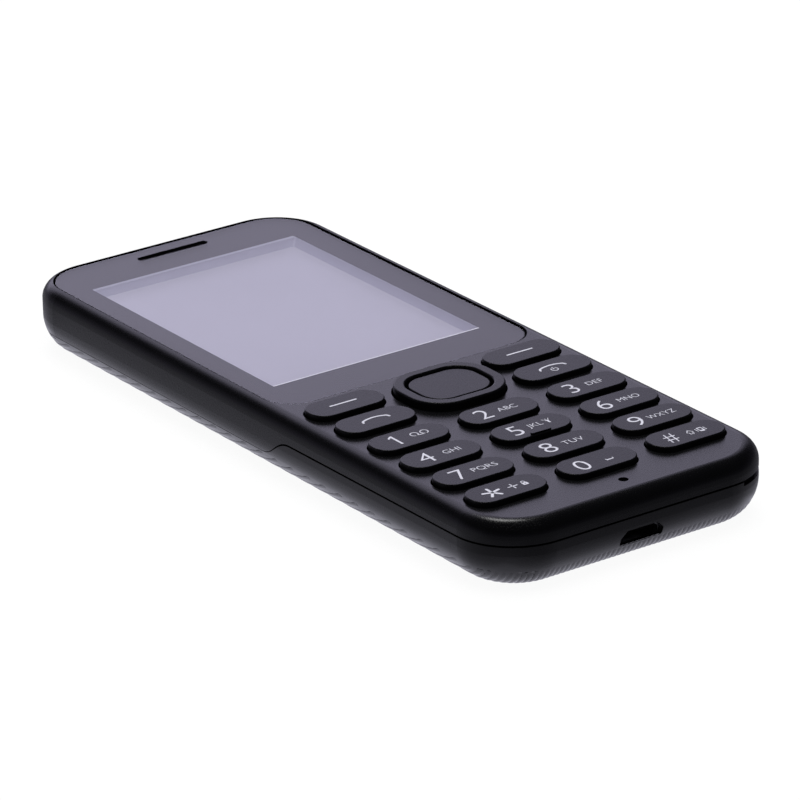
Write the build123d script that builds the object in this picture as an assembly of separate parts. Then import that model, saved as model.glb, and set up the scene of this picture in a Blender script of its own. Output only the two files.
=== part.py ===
from build123d import *
import os

# A bar-shaped keypad phone, in millimetres.
# X runs across the phone, Y from the microphone end to the earpiece end, Z from the back to the face.
# The origin lies in the middle of the back.

os.makedirs("parts", exist_ok=True)

# Body, whose width and length follow from the display and the keypad, and its height from the stack inside
body_corner = 10.0
front_edge = 2.5
back_edge = 6.0
housing_wall = 1.3
cover_wall = 0.9

# Seam between the front housing and the back cover, with its step on the sides
seam_lower_gap = 0.3
seam_upper_gap = 0.12
seam_lower_depth = 3.6
seam_upper_depth = 7.15
seam_step_drop = 0.36
seam_step_start = -11.6
seam_step_end = -3.4

# Pry notch in the cover's rim
notch_height = 0.6
notch_depth = 0.6
notch_reach = 7.7
notch_length = 9.0

# Mid frame
frame_gap = 0.2
frame_wall = 1.0
frame_lap = 0.3
frame_top_gap = 0.6
floor_thickness = 0.5

# Display
window_width = 37.6
window_length = 49.75
window_side = 4.4
window_top = 9.0
window_chin = 8.7
rim_side = 2.4
rim_end = 2.1
lens_top_corner = 7.0
lens_bottom_corner = 5.0
lens_edge = 0.2
lens_thickness = 1.0
lens_recess = 0.2
lens_gap = 0.25
tape_thickness = 0.1
tape_inset = 0.4
ledge_thickness = 0.5
ledge_margin = 0.8
gasket_thickness = 0.35
gasket_width = 1.2
panel_shelf = 0.75
panel_thickness = 0.85
light_thickness = 0.85
flex_width = 16.0
flex_length = 4.5
flex_thickness = 0.12

# Earpiece
slot_x = -0.35
slot_width = 12.8
slot_height = 1.25
slot_inset = 3.3
slot_margin = 0.3
receiver_width = 12.0
receiver_length = 5.5
receiver_shift = 0.6
mesh_thickness = 0.15
mesh_overlap = 0.6

# Keys
key_length = 5.85
key_side = 3.2
key_end_flat = 0.175
key_lens_gap = 2.325
key_rise = 0.82
key_rounding = 0.2
key_gap = 0.25
key_travel = 0.3
column_gap = 3.2
last_row_inset = 11.35
digit_row_gap = 1.95
call_row_gap = 2.45
soft_row_gap = 1.9
flange_reach = 0.5
flange_thickness = 0.5
flange_gap = 0.15
plunger_radius = 1.0
bar_width = 3.6
bar_length = 0.55
bar_height = 0.3
bar_margin = 0.5

# Navigation ring and its centre key
ring_side_gap = 1.6
ring_overhang = 0.15
ring_side_flat = 1.2
ring_band = 1.75
ring_rise = 1.25
ring_rounding = 0.3
ring_gap = 0.3
ring_low_gap = 0.85
ring_tilt_room = 0.4
ok_gap = 0.5
ok_drop = 0.24
pad_thickness = 0.6

# Keypad mat, dome film and domes
mat_side_gap = 0.3
mat_thickness = 0.4
mat_gap = 0.4
mat_end_margin = 0.7
mat_skirt = 1.0
mat_hole_gap = 0.4
film_thickness = 0.1
dome_radius = 2.0
dome_height = 0.25
dome_thickness = 0.08
dome_gap = 0.05

# Microphone
mic_hole_radius = 0.75
mic_inset = 5.15
mic_width = 3.8
mic_length = 3.0
mic_height = 1.0
boot_radius = 1.5

# Board and shields
board_thickness = 0.75
board_gap = 0.3
stack_gap = 0.1
can_height = 0.8
large_can_width = 30.0
large_can_length = 24.0
small_can_width = 15.0
small_can_length = 18.0
small_can_x = -11.5

# Screws: two beside the earpiece, two under the display and two beside the microphone
top_screw_side = 8.1
top_screw_inset = 3.0
middle_screw_inset = 2.4
middle_screw_drop = 5.2
bottom_screw_side = 11.6
bottom_screw_inset = 1.7
screw_radius = 0.8
screw_gap = 0.1
screw_head_radius = 1.4
screw_head_height = 0.7
screw_depth = 1.9
boss_radius = 1.6

# Battery, its bay and its connector
battery_side = 8.6
battery_thickness = 3.7
battery_length = 53.0
battery_inset = 18.3
battery_corner = 1.5
battery_gap = 0.15
bay_gap = 0.3
bay_wall = 0.8
bay_floor_gap = 0.6
connector_width = 11.0
connector_length = 3.0
connector_lift = 0.2
connector_gap = 0.3
spring_width = 1.2
spring_height = 1.8
spring_pitch = 3.0
spring_count = 3
spring_gap = 0.05

# Charging socket
socket_x = -0.5
socket_width = 7.6
socket_height = 2.4
socket_foot = 0.65
socket_shoulder = 1.1
socket_side = 1.35
socket_corner = 0.5
socket_depth = 5.5
socket_wall = 0.25
socket_recess = 1.3
socket_gap = 0.2
tongue_width = 3.8
tongue_height = 0.6
tongue_length = 3.6

# SIM card and holder
sim_width = 15.0
sim_length = 25.0
sim_thickness = 0.8
sim_corner_cut = 3.0
sim_x = 9.5
sim_step = 5.0
sim_gap = 0.15
rail_width = 1.2
lip_width = 1.0
lip_thickness = 0.25

# Loudspeaker
speaker_width = 16.0
speaker_length = 12.0
speaker_corner = 3.0
speaker_side = 6.6
speaker_inset = 16.3
speaker_gasket_thickness = 0.35
speaker_gasket_width = 1.5
speaker_mesh_thickness = 0.15
speaker_mesh_gap = 0.3
grille_hole_radius = 0.6
grille_pitch = 2.2
grille_columns = 5
grille_rows = 3

# Vibration motor and its weight, with the shaft along X
motor_length = 7.0
motor_side = 7.6
motor_inset = 10.3
motor_gap = 0.05
motor_cover_gap = 0.45
shaft_radius = 0.4
weight_inset = 0.15
weight_length = 2.5
weight_gap = 0.4
cradle_wall = 0.8
cradle_gap = 0.2

# Antenna
antenna_screw_gap = 2.1
antenna_length = 5.0
antenna_inset = 5.8
antenna_thickness = 0.15

# Torch in the earpiece end
torch_x = 10.0
torch_radius = 1.5
torch_gap = 0.2
torch_recess = 0.2
led_width = 3.0
led_length = 1.6
led_height = 1.4

# How far a cut reaches past a face
cut_over = 1.0

# Heights of the stack, from the back up to the face
battery_low = cover_wall + battery_gap
battery_high = battery_low + battery_thickness
floor_low = battery_high + battery_gap
floor_high = floor_low + floor_thickness
can_low = floor_high + stack_gap
board_low = can_low + can_height
board_high = board_low + board_thickness
light_low = board_high + stack_gap
panel_low = light_low + light_thickness
panel_high = panel_low + panel_thickness
ledge_low = panel_high + gasket_thickness
ledge_high = ledge_low + ledge_thickness
lens_low = ledge_high + tape_thickness
lens_high = lens_low + lens_thickness
body_height = lens_high + lens_recess
seam_lower_height = body_height - seam_lower_depth
seam_upper_height = body_height - seam_upper_depth
bay_low = cover_wall + bay_floor_gap
connector_low = bay_low + connector_lift
frame_low = seam_upper_height - frame_lap
frame_high = ledge_low - frame_top_gap
socket_low = board_low - socket_foot - socket_height
motor_radius = (floor_low - cover_wall - motor_gap - motor_cover_gap) / 2
weight_radius = motor_radius - weight_inset

# Heights in the keypad
face_low = body_height - housing_wall
flange_high = face_low - flange_gap
flange_low = flange_high - flange_thickness
mat_high = flange_low - key_travel - mat_gap
mat_low = mat_high - mat_thickness
film_high = board_high + film_thickness
dome_high = board_high + dome_height
plunger_low = dome_high + dome_gap + key_travel
key_high = body_height + key_rise
ring_high = body_height + ring_rise
ring_low = face_low - ring_low_gap
pad_high = ring_low - ring_tilt_room
pad_low = pad_high - pad_thickness
ok_high = ring_high - ok_drop
ok_low = pad_low

# Sizes across the phone
lens_width = window_width + 2 * window_side
body_width = lens_width + 2 * rim_side
key_width = (body_width - 2 * key_side - 2 * column_gap) / 3
key_corner = key_length / 2 - key_end_flat
column_pitch = key_width + column_gap
battery_width = body_width - 2 * battery_side

# Sizes along the phone
lens_length = window_top + window_length + window_chin
digit_row_pitch = key_length + digit_row_gap
call_row_pitch = key_length + call_row_gap
soft_row_pitch = key_length + soft_row_gap
keypad_length = 3 * digit_row_pitch + call_row_pitch + soft_row_pitch
body_length = rim_end + lens_length + key_lens_gap + key_length / 2 + keypad_length + last_row_inset
body_end = body_length / 2

# Places of the display
lens_end = body_end - rim_end
lens_y = lens_end - lens_length / 2
window_y = lens_end - window_top - window_length / 2
ledge_opening_width = window_width + 2 * ledge_margin
ledge_opening_length = window_length + 2 * ledge_margin
gasket_outer_width = ledge_opening_width + 2 * gasket_width
gasket_outer_length = ledge_opening_length + 2 * gasket_width
panel_length = gasket_outer_length + panel_shelf
panel_y = window_y - panel_shelf / 2
panel_end = panel_y - panel_length / 2
slot_y = lens_end - slot_inset
receiver_y = slot_y - receiver_shift

# Places of the keys
digit_rows = [last_row_inset - body_end + row * digit_row_pitch for row in (3, 2, 1, 0)]
call_row_y = digit_rows[0] + call_row_pitch
soft_row_y = call_row_y + soft_row_pitch
nav_y = (call_row_y + soft_row_y) / 2
ring_width = 2 * column_pitch - key_width - 2 * ring_side_gap
ring_length = soft_row_pitch + key_length + 2 * ring_overhang
ring_corner = ring_length / 2 - ring_side_flat
ok_width = ring_width - 2 * ring_band - 2 * ok_gap
ok_length = ring_length - 2 * ring_band - 2 * ok_gap
mic_y = mic_inset - body_end

# Places inside
frame_inset = housing_wall + frame_gap
frame_inner = frame_inset + frame_wall
board_inset = frame_inner + board_gap
board_end = body_end - board_inset
battery_y = battery_inset + battery_length / 2 - body_end
battery_end = battery_y + battery_length / 2
connector_y = battery_end + bay_gap + connector_length / 2
socket_mouth = socket_recess - body_end
sim_y = battery_end + sim_step + sim_length / 2
sim_high = floor_low - sim_gap
sim_low = sim_high - sim_thickness
holder_width = sim_width + 2 * sim_gap + 2 * rail_width
speaker_x = speaker_side + speaker_width / 2 - body_width / 2
speaker_y = body_end - speaker_inset
speaker_low = cover_wall + stack_gap + speaker_gasket_thickness
speaker_high = floor_low - stack_gap
motor_x = motor_side + motor_length / 2 - body_width / 2
motor_y = motor_inset - body_end
motor_z = floor_low - motor_gap - motor_radius
antenna_y = body_end - antenna_inset
torch_z = board_high + led_height / 2
top_screw_x = body_width / 2 - top_screw_side
antenna_width = 2 * (top_screw_x - screw_head_radius - antenna_screw_gap)
screw_places = [
    (top_screw_x, board_end - top_screw_inset),
    (body_width / 2 - board_inset - middle_screw_inset, panel_end - middle_screw_drop),
    (body_width / 2 - bottom_screw_side, bottom_screw_inset - board_end),
]

key_places = {
    "soft_key_left": (-column_pitch, soft_row_y),
    "soft_key_right": (column_pitch, soft_row_y),
    "call_key": (-column_pitch, call_row_y),
    "end_key": (column_pitch, call_row_y),
}
digit_names = [["1", "2", "3"], ["4", "5", "6"], ["7", "8", "9"], ["star", "0", "hash"]]
for row_names, row_y in zip(digit_names, digit_rows):
    for name, column in zip(row_names, (-1, 0, 1)):
        key_places["key_" + name] = (column * column_pitch, row_y)

# Middle of the ring's band on each of its four sides
ring_press_places = [
    ((ring_width - ring_band) / 2, nav_y),
    ((ring_band - ring_width) / 2, nav_y),
    (0.0, nav_y + (ring_length - ring_band) / 2),
    (0.0, nav_y - (ring_length - ring_band) / 2),
]
dome_places = list(key_places.values()) + ring_press_places + [(0.0, nav_y)]

mat_width = body_width - 2 * board_inset - 2 * mat_side_gap
mat_top_y = soft_row_y + key_length / 2 + mat_end_margin
mat_bottom_y = digit_rows[-1] - key_length / 2 - mat_end_margin
mat_length = mat_top_y - mat_bottom_y
mat_y = (mat_top_y + mat_bottom_y) / 2


# Simple solids standing between two heights

def block(width, length, low, high, x=0.0, y=0.0):
    return Pos(x, y, (low + high) / 2) * Box(width, length, high - low)


def slab(width, length, corner, low, high, x=0.0, y=0.0):
    return Pos(x, y, low) * extrude(RectangleRounded(width, length, corner), high - low)


def rod(radius, low, high, x=0.0, y=0.0):
    return Pos(x, y, (low + high) / 2) * Cylinder(radius, high - low)


def frame(width, length, band, low, high, x=0.0, y=0.0):
    outer = block(width, length, low, high, x, y)
    return outer - block(width - 2 * band, length - 2 * band, low, high, x, y)


def all_screws():
    return [(side * x, y) for x, y in screw_places for side in (-1, 1)]


# The outside form of the phone, shrunk evenly by an inset

def body_form(inset):
    width = body_width - 2 * inset
    length = body_length - 2 * inset
    form = slab(width, length, body_corner - inset, inset, body_height - inset)
    form = fillet(form.edges().group_by(Axis.Z)[0], back_edge - inset)
    return fillet(form.edges().group_by(Axis.Z)[-1], front_edge - inset)


def body_prism(inset, low, high):
    return slab(body_width - 2 * inset, body_length - 2 * inset, body_corner - inset, low, high)


# Everything under the seam line, which steps down between its lower and its upper half

def under_seam(lower_lift, upper_lift):
    lower = seam_lower_height + lower_lift
    step_top = lower - seam_step_drop
    upper = seam_upper_height + upper_lift
    step = Spline((seam_step_start, step_top), (seam_step_end, upper), tangents=((1, 0), (1, 0)))
    rest = Polyline(
        (seam_step_end, upper),
        (body_length, upper),
        (body_length, -body_height),
        (-body_length, -body_height),
        (-body_length, lower),
        (-body_end, lower),
        (seam_step_start, step_top),
    )
    return extrude(make_face(Plane.YZ * (step + rest)), body_width, both=True)


# Outlines that fit into or through the housing

def lens_form(grow, low, high):
    outline = Rectangle(lens_width + 2 * grow, lens_length + 2 * grow)
    outline = fillet(outline.vertices().group_by(Axis.Y)[-1], lens_top_corner + grow)
    outline = fillet(outline.vertices().group_by(Axis.Y)[0], lens_bottom_corner + grow)
    return Pos(0, lens_y, low) * extrude(outline, high - low)


def sound_slot(grow, low, high):
    width = slot_width + 2 * grow
    height = slot_height + 2 * grow
    return Pos(slot_x, slot_y, low) * extrude(SlotOverall(width, height), high - low)


def key_form(grow, low, high, x, y):
    return slab(key_width + 2 * grow, key_length + 2 * grow, key_corner + grow, low, high, x, y)


def ring_form(grow, low, high):
    return slab(ring_width + 2 * grow, ring_length + 2 * grow, ring_corner + grow, low, high, 0, nav_y)


def socket_form(grow, start_y, end_y):
    low = socket_low - grow
    high = socket_low + socket_height + grow
    half = socket_width / 2 + grow
    half_top = half - socket_shoulder
    bend = socket_low + socket_side + grow / 2
    outline = Polyline(
        (-half, low), (half, low), (half, bend), (half_top, high), (-half_top, high), (-half, bend), close=True
    )
    form = Pos(socket_x, end_y, 0) * extrude(make_face(Plane.XZ * outline), end_y - start_y)
    return fillet(form.edges().filter_by(Axis.Y), socket_corner + grow)


def torch_form(radius, start_y, end_y):
    return Pos(torch_x, (start_y + end_y) / 2, torch_z) * Rot(90, 0, 0) * Cylinder(radius, end_y - start_y)


# Shells

def make_front_housing():
    housing = body_form(0) - under_seam(seam_lower_gap, seam_upper_gap) - body_form(housing_wall)
    ledge_bottom = lens_y - lens_length / 2 - lens_gap - housing_wall
    ledge = block(body_width, body_end - ledge_bottom, ledge_low, face_low, 0, (body_end + ledge_bottom) / 2)
    housing += ledge & body_form(housing_wall / 2)
    for x, y in all_screws():
        housing += rod(boss_radius, board_high + stack_gap, body_height - housing_wall / 2, x, y)
        housing -= rod(screw_radius + screw_gap, board_low, board_high + screw_depth + screw_gap, x, y)
    housing -= lens_form(lens_gap, ledge_high, body_height + cut_over)
    housing -= block(ledge_opening_width, ledge_opening_length, ledge_low, ledge_high, 0, window_y)
    housing -= sound_slot(slot_margin, ledge_low, ledge_high)
    for x, y in key_places.values():
        housing -= key_form(key_gap, face_low, body_height, x, y)
    housing -= ring_form(ring_gap, face_low, body_height)
    housing -= rod(mic_hole_radius, face_low, body_height, 0, mic_y)
    return housing - torch_form(torch_radius + torch_gap, body_end - 2 * housing_wall, body_end)


def make_back_cover():
    cover = (body_form(0) & under_seam(0, 0)) - body_form(cover_wall)
    cover -= socket_form(0, -body_end, socket_mouth)
    cover -= socket_form(socket_gap, socket_mouth - socket_gap, frame_inner - body_end)
    notch_high = seam_lower_height
    notch = block(
        notch_reach, notch_length, notch_high - notch_height, notch_high,
        (body_width - notch_reach) / 2, (notch_length - body_length) / 2,
    )
    cover -= notch - body_form(notch_depth)
    for hole in GridLocations(grille_pitch, grille_pitch, grille_columns, grille_rows):
        cover -= rod(grille_hole_radius, 0, cover_wall, speaker_x + hole.position.X, speaker_y + hole.position.Y)
    return cover


def make_mid_frame():
    tray = body_form(frame_inset) & block(body_width, body_length, frame_low, frame_high)
    tray -= body_prism(frame_inner, floor_high, frame_high)
    tray -= body_prism(frame_inner, frame_low, floor_low)
    bay_width = battery_width + 2 * bay_gap + 2 * bay_wall
    bay_length = battery_length + 2 * bay_gap + 2 * bay_wall
    tray += frame(bay_width, bay_length, bay_wall, bay_low, floor_low, 0, battery_y)
    for side in (-1, 1):
        cradle_y = motor_y + side * (motor_radius + cradle_gap + cradle_wall / 2)
        tray += block(motor_length, cradle_wall, motor_z, floor_low, motor_x, cradle_y)
    for x, y in all_screws():
        tray -= rod(screw_radius + screw_gap, floor_low, floor_high, x, y)
    holder_room = holder_width + 2 * stack_gap
    tray -= block(holder_room, sim_length + 2 * stack_gap, floor_low, floor_high, sim_x, sim_y)
    connector_room = connector_width + 2 * connector_gap
    tray -= block(connector_room, connector_length + 2 * connector_gap, 0, floor_high, 0, connector_y)
    socket_middle = socket_mouth + socket_depth / 2
    socket_room = socket_width + 4 * socket_gap
    tray -= block(socket_room, socket_depth + 2 * socket_gap, 0, floor_high, socket_x, socket_middle)
    tray -= socket_form(2 * socket_gap, -body_end, frame_inner - body_end)
    return tray - torch_form(torch_radius + 2 * torch_gap, body_end - 2 * frame_inner, body_end)


def make_screws():
    screws = []
    for x, y in all_screws():
        head = rod(screw_head_radius, floor_low - screw_head_height, floor_low, x, y)
        screws.append(head + rod(screw_radius, floor_low, board_high + screw_depth, x, y))
    return Compound(children=screws)


# Display and earpiece

def make_display_lens():
    lens = lens_form(0, lens_low, lens_high)
    lens = fillet(lens.edges().group_by(Axis.Z)[-1], lens_edge)
    return lens - sound_slot(0, lens_low, lens_high)


def make_lens_tape():
    tape = lens_form(-tape_inset, ledge_high, lens_low)
    tape -= block(ledge_opening_width, ledge_opening_length, ledge_high, lens_low, 0, window_y)
    return tape - sound_slot(slot_margin, ledge_high, lens_low)


def make_lcd_gasket():
    return frame(gasket_outer_width, gasket_outer_length, gasket_width, panel_high, ledge_low, 0, window_y)


def make_lcd_panel():
    return block(gasket_outer_width, panel_length, panel_low, panel_high, 0, panel_y)


def make_lcd_backlight():
    return block(gasket_outer_width, panel_length, light_low, panel_low, 0, panel_y)


def make_lcd_flex():
    flex_high = light_low + flex_thickness
    return block(flex_width, flex_length, light_low, flex_high, 0, panel_end - flex_length / 2)


def make_earpiece_mesh():
    return sound_slot(slot_margin + mesh_overlap, ledge_low - mesh_thickness, ledge_low)


def make_earpiece_receiver():
    height = ledge_low - mesh_thickness - board_high
    return Pos(slot_x, receiver_y, board_high) * extrude(SlotOverall(receiver_width, receiver_length), height)


# Keys

def make_key(x, y):
    cap = key_form(0, flange_low, key_high, x, y)
    cap = fillet(cap.edges().group_by(Axis.Z)[-1], key_rounding)
    flange = key_form(flange_reach, flange_low, flange_high, x, y)
    return cap + flange + rod(plunger_radius, plunger_low, flange_low, x, y)


def make_five_key(x, y):
    bar_y = y - key_length / 2 + bar_margin
    bar = Pos(x, bar_y, key_high) * extrude(SlotOverall(bar_width, bar_length), bar_height)
    return make_key(x, y) + bar


def make_nav_ring():
    ring = ring_form(0, ring_low, ring_high) - ring_form(-ring_band, ring_low, ring_high)
    return fillet(ring.edges().group_by(Axis.Z)[-1], ring_rounding)


def make_nav_ring_pad():
    pad = ring_form(0, pad_low, pad_high) - ring_form(-ring_band, pad_low, pad_high)
    for x, y in ring_press_places:
        pad += rod(ring_band / 2, plunger_low, pad_low, x, y)
    return pad


def make_ok_key():
    corner = ring_corner - ring_band - ok_gap
    cap = slab(ok_width, ok_length, corner, ok_low, ok_high, 0, nav_y)
    cap = fillet(cap.edges().group_by(Axis.Z)[-1], key_rounding)
    return cap + rod(plunger_radius, plunger_low, ok_low, 0, nav_y)


def make_keypad_mat():
    mat = block(mat_width, mat_length, film_high, mat_high, 0, mat_y)
    mat -= block(mat_width - 2 * mat_skirt, mat_length - 2 * mat_skirt, film_high, mat_low, 0, mat_y)
    for x, y in key_places.values():
        mat -= rod(plunger_radius + mat_hole_gap, mat_low, mat_high, x, y)
    return mat - ring_form(mat_hole_gap, film_high, mat_high)


def make_dome_film():
    film = block(mat_width, mat_length, board_high, film_high, 0, mat_y)
    for x, y in dome_places:
        film -= rod(dome_radius + dome_gap, board_high, film_high, x, y)
    return film


def make_domes():
    ball_radius = (dome_radius ** 2 + dome_height ** 2) / (2 * dome_height)
    shell = Sphere(ball_radius) - Sphere(ball_radius - dome_thickness)
    cap = shell & block(2 * ball_radius, 2 * ball_radius, ball_radius - dome_height, ball_radius)
    return Compound(children=[Pos(x, y, dome_high - ball_radius) * cap for x, y in dome_places])


# Electronics

def make_main_board():
    board = body_prism(board_inset, board_low, board_high)
    for x, y in all_screws():
        board -= rod(screw_radius + screw_gap, board_low, board_high, x, y)
    return board


def make_shield_cans():
    large = block(large_can_width, large_can_length, can_low, board_low, 0, battery_y)
    small = block(small_can_width, small_can_length, can_low, board_low, small_can_x, sim_y)
    return Compound(children=[large, small])


def make_usb_socket():
    end = socket_mouth + socket_depth
    shell = socket_form(0, socket_mouth, end) - socket_form(-socket_wall, socket_mouth, end - socket_wall)
    tongue_middle = socket_low + socket_height / 2
    tongue_low = tongue_middle - tongue_height / 2
    tongue_y = end - socket_wall - tongue_length / 2
    shell += block(tongue_width, tongue_length, tongue_low, tongue_low + tongue_height, socket_x, tongue_y)
    foot_width = socket_width - 2 * socket_shoulder
    foot_y = socket_mouth + socket_depth / 2 + board_inset / 2
    foot_low = socket_low + socket_height
    return shell + block(foot_width, socket_depth - board_inset, foot_low, board_low, socket_x, foot_y)


def make_microphone():
    return block(mic_width, mic_length, board_high, board_high + mic_height, 0, mic_y)


def make_microphone_boot():
    boot = rod(boot_radius, board_high + mic_height, face_low, 0, mic_y)
    return boot - rod(mic_hole_radius, board_high + mic_height, face_low, 0, mic_y)


def make_loudspeaker():
    return slab(speaker_width, speaker_length, speaker_corner, speaker_low, speaker_high, speaker_x, speaker_y)


def make_speaker_gasket():
    low = cover_wall + stack_gap
    outer = slab(speaker_width, speaker_length, speaker_corner, low, speaker_low, speaker_x, speaker_y)
    width = speaker_width - 2 * speaker_gasket_width
    length = speaker_length - 2 * speaker_gasket_width
    return outer - slab(width, length, speaker_corner / 2, low, speaker_low, speaker_x, speaker_y)


def make_speaker_mesh():
    width = speaker_width - 2 * speaker_gasket_width - 2 * speaker_mesh_gap
    length = speaker_length - 2 * speaker_gasket_width - 2 * speaker_mesh_gap
    high = cover_wall + speaker_mesh_thickness
    return slab(width, length, speaker_corner / 2, cover_wall, high, speaker_x, speaker_y)


def make_vibration_motor():
    return Pos(motor_x, motor_y, motor_z) * Rot(0, 90, 0) * Cylinder(motor_radius, motor_length)


def make_motor_weight():
    start = motor_x + motor_length / 2
    shaft_length = weight_gap + weight_length
    shaft = Pos(start + shaft_length / 2, motor_y, motor_z) * Rot(0, 90, 0) * Cylinder(shaft_radius, shaft_length)
    weight_x = start + weight_gap + weight_length / 2
    disc = Pos(weight_x, motor_y, motor_z) * Rot(0, 90, 0) * Cylinder(weight_radius, weight_length)
    lower_half = block(weight_length, 2 * weight_radius, motor_z - weight_radius, motor_z, weight_x, motor_y)
    return shaft + (disc & lower_half)


def make_battery():
    battery = block(battery_width, battery_length, battery_low, battery_high, 0, battery_y)
    return fillet(battery.edges().filter_by(Axis.Z), battery_corner)


def make_battery_connector():
    return block(connector_width, connector_length, connector_low, board_low, 0, connector_y)


def make_battery_springs():
    length = bay_gap - spring_gap
    y = battery_end + spring_gap + length / 2
    low = battery_low + (battery_high - battery_low - spring_height) / 2
    springs = []
    for number in range(spring_count):
        x = (number - (spring_count - 1) / 2) * spring_pitch
        springs.append(block(spring_width, length, low, low + spring_height, x, y))
    return Compound(children=springs)


def make_sim_holder():
    holder = block(holder_width, sim_length, floor_low, board_low, sim_x, sim_y)
    for side in (-1, 1):
        rail_x = sim_x + side * (sim_width / 2 + sim_gap + rail_width / 2)
        holder += block(rail_width, sim_length, sim_low - sim_gap - lip_thickness, floor_low, rail_x, sim_y)
        lip_x = sim_x + side * (sim_width / 2 + sim_gap - lip_width / 2)
        lip_high = sim_low - sim_gap
        holder += block(lip_width, sim_length, lip_high - lip_thickness, lip_high, lip_x, sim_y)
    return holder


def make_sim_card():
    card = block(sim_width, sim_length, sim_low, sim_high, sim_x, sim_y)
    corner = card.edges().filter_by(Axis.Z).sort_by(Axis.X)[-2:].sort_by(Axis.Y)[0]
    return chamfer(corner, sim_corner_cut)


def make_antenna():
    return block(antenna_width, antenna_length, floor_low - antenna_thickness, floor_low, 0, antenna_y)


def make_torch_led():
    y = board_end - led_length / 2
    return block(led_width, led_length, board_high, board_high + led_height, torch_x, y)


def make_torch_lens():
    return torch_form(torch_radius, board_end, body_end - torch_recess)


nodes = {
    "front_housing": make_front_housing(),
    "mid_frame": make_mid_frame(),
    "back_cover": make_back_cover(),
    "screws": make_screws(),
    "display_lens": make_display_lens(),
    "lens_tape": make_lens_tape(),
    "lcd_gasket": make_lcd_gasket(),
    "lcd_panel": make_lcd_panel(),
    "lcd_backlight": make_lcd_backlight(),
    "lcd_flex": make_lcd_flex(),
    "earpiece_mesh": make_earpiece_mesh(),
    "earpiece_receiver": make_earpiece_receiver(),
    "nav_ring": make_nav_ring(),
    "nav_ring_pad": make_nav_ring_pad(),
    "ok_key": make_ok_key(),
    "keypad_mat": make_keypad_mat(),
    "dome_film": make_dome_film(),
    "domes": make_domes(),
    "main_board": make_main_board(),
    "shield_cans": make_shield_cans(),
    "usb_socket": make_usb_socket(),
    "microphone": make_microphone(),
    "microphone_boot": make_microphone_boot(),
    "loudspeaker": make_loudspeaker(),
    "speaker_gasket": make_speaker_gasket(),
    "speaker_mesh": make_speaker_mesh(),
    "vibration_motor": make_vibration_motor(),
    "motor_weight": make_motor_weight(),
    "battery": make_battery(),
    "battery_connector": make_battery_connector(),
    "battery_springs": make_battery_springs(),
    "sim_holder": make_sim_holder(),
    "sim_card": make_sim_card(),
    "antenna": make_antenna(),
    "torch_led": make_torch_led(),
    "torch_lens": make_torch_lens(),
}
for name, (x, y) in key_places.items():
    nodes[name] = make_five_key(x, y) if name == "key_5" else make_key(x, y)

for name, solid in nodes.items():
    export_step(solid, "parts/" + name + ".step")
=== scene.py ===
import math

import bmesh
import bpy
from mathutils import Matrix, Vector


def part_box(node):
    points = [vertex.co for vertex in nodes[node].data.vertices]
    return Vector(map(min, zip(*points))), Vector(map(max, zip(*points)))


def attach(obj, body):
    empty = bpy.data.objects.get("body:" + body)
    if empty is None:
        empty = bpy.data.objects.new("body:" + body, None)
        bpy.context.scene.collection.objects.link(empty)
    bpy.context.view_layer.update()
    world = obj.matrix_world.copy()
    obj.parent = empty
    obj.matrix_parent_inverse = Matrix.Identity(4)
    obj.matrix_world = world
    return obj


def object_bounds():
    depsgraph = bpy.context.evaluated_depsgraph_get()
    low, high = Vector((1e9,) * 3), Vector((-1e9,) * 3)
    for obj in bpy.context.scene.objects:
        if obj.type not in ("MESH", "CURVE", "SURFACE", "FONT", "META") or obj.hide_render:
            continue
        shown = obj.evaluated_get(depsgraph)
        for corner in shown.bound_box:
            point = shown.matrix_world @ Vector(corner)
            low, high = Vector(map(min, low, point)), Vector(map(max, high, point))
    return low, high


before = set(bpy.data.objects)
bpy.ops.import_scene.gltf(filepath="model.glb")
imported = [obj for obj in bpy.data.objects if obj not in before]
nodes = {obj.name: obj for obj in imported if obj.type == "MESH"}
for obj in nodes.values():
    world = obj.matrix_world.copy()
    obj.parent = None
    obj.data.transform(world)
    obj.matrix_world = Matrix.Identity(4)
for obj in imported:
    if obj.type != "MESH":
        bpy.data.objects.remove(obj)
cad_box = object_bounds()
mm = 0.001

# Outside form of the back, as in the solids
body_low, body_high = cad_box
half_width = body_high[0]
half_length = body_high[1]
body_corner = 10.0 * mm
back_edge = 6.0 * mm

# Ribs on the back cover
rib_pitch = 0.9 * mm
rib_slope = 0.222
rib_height = 0.075 * mm
rib_width = 0.86 * mm
rib_root = 0.03 * mm
rib_points = 7
rib_end_height = 3.6 * mm
rib_fade = 2.5 * mm
rib_step = 0.05 * mm
rib_edge_spacing = 0.35 * mm
rib_flat_spacing = 1.2 * mm
flat_upright = 0.999

# Display seen through the lens
window_width = 37.6 * mm
window_length = 49.75 * mm
window_y = 27.2 * mm
panel_window_y = 26.85 * mm
window_corner = 0.4 * mm
active_width = 36.72 * mm
active_length = 48.96 * mm
active_corner = 0.1 * mm
print_depth = 0.4 * mm
print_thickness = 0.02 * mm
print_inset = 0.05 * mm
# Width of a pale line painted along the bottom edge of the window: a painted highlight of the window's edge
painted_highlight_line = 0.2 * mm
ledge_margin = 0.8 * mm
surround_reach = 0.7 * mm
lens_top_corner = 7.0 * mm
lens_bottom_corner = 5.0 * mm
slot_width = 12.8 * mm
slot_height = 1.25 * mm
slot_x = -0.35 * mm
slot_y = 57.4 * mm
slot_sleeve = 0.06 * mm
slot_collar = 0.08 * mm
slot_end = 0.49

# Contacts on the battery
spring_pitch = 3.0 * mm
contact_width = 1.8 * mm

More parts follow.
